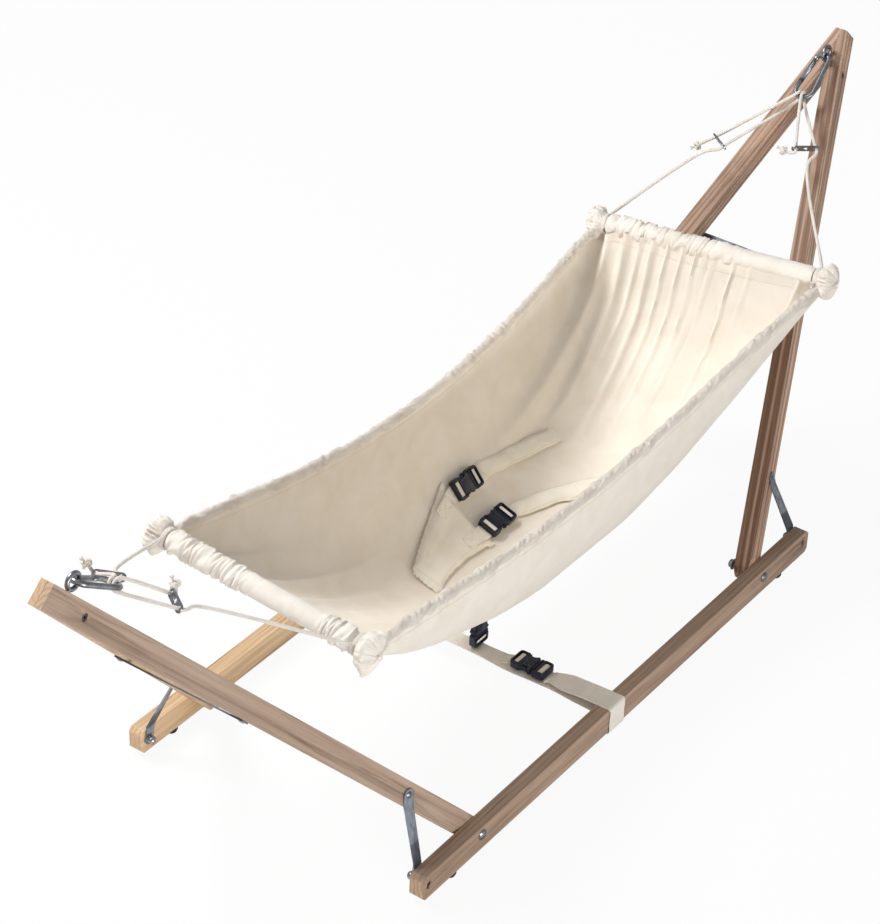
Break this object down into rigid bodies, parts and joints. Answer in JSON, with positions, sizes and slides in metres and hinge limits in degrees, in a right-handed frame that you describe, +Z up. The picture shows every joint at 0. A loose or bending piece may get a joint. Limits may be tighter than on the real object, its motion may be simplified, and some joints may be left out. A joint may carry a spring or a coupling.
{
  "type": "swinging cradle on stand",
  "caption": "Cotton baby hammock with spreader rods, hung by cords and snap hooks between the tips of two braced wooden A-frames on floor rails, with a tether that limits its swing.",
  "frame": {"origin": "middle of the footprint, on the floor under the rubber feet", "axes": "+X along the rails towards the head end, +Y to the left rail, +Z up"},
  "size_m": [1.6804, 0.4626, 0.5925],
  "materials": {
    "stand_wood": "oiled ash, open grain",
    "rod_wood": "plain turned wood",
    "zinc_steel": "zinc plated",
    "foot_rubber": "matte",
    "cotton_cloth": "undyed cotton weave",
    "padded_cotton": "quilted undyed cotton",
    "cream_webbing": "woven cotton tape",
    "cotton_cord": "braided",
    "buckle_plastic": "moulded, fine texture"
  },
  "bodies": {
    "stand": {"rail_right": "stand_wood", "rail_left": "stand_wood", "rubber_feet": "foot_rubber", "hinge_bolts": "zinc_steel", "hinge_nuts": "zinc_steel", "end_bolts": "zinc_steel", "cap_nuts": "zinc_steel", "head_leg_right": "stand_wood", "head_leg_left": "stand_wood", "head_cross_bolt": "zinc_steel", "head_eye_bolt": "zinc_steel", "head_crossbar": "zinc_steel", "head_crossbar_screws": "zinc_steel", "head_strut_screws": "zinc_steel", "foot_leg_right": "stand_wood", "foot_leg_left": "stand_wood", "foot_cross_bolt": "zinc_steel", "foot_eye_bolt": "zinc_steel", "foot_crossbar": "zinc_steel", "foot_crossbar_screws": "zinc_steel", "foot_strut_screws": "zinc_steel", "head_strut_right": "zinc_steel", "head_strut_left": "zinc_steel", "foot_strut_right": "zinc_steel", "foot_strut_left": "zinc_steel", "band_wrap_right": "cream_webbing", "band_wrap_left": "cream_webbing", "band_middle": "cream_webbing", "band_sockets": "buckle_plastic", "band_plugs": "buckle_plastic"},
    "cradle": {"head_snap_hook": "zinc_steel", "foot_snap_hook": "zinc_steel", "head_spreader_rod": "rod_wood", "foot_spreader_rod": "rod_wood", "head_sleeve": "cotton_cloth", "foot_sleeve": "cotton_cloth", "hammock_cloth": "cotton_cloth", "side_hem_right": "cotton_cloth", "side_hem_left": "cotton_cloth", "head_cord_right": "cotton_cord", "head_cord_left": "cotton_cord", "foot_cord_right": "cotton_cord", "foot_cord_left": "cotton_cord", "cord_knots": "cotton_cord", "cord_adjusters": "zinc_steel", "tether_webbing": "cream_webbing", "tether_socket": "buckle_plastic", "tether_plug": "buckle_plastic", "crotch_panel": "padded_cotton", "shoulder_strap_right": "cream_webbing", "shoulder_strap_left": "cream_webbing", "harness_sockets": "buckle_plastic", "harness_plugs": "buckle_plastic"},
    "head_gate": {"head_snap_gate": "zinc_steel"},
    "foot_gate": {"foot_snap_gate": "zinc_steel"}
  },
  "joints": [
    {"name": "cradle_swing", "type": "hinge", "parent": "stand", "child": "cradle", "pos_m": [0, 0, 0.5646], "axis": [1, 0, 0], "range_deg": [-5, 5]},
    {"name": "head_gate_hinge", "type": "hinge", "parent": "cradle", "child": "head_gate", "pos_m": [0.76465, 0.0096, 0.55895], "axis": [-0.5681, 0, 0.8229], "range_deg": [0, 22], "stiffness_Nm_per_rad": 0.05, "springref_deg": -17.19},
    {"name": "foot_gate_hinge", "type": "hinge", "parent": "cradle", "child": "foot_gate", "pos_m": [-0.7642, 0.0096, 0.55964], "axis": [-0.5323, 0, -0.8465], "range_deg": [0, 22], "stiffness_Nm_per_rad": 0.05, "springref_deg": -17.19}
  ]
}
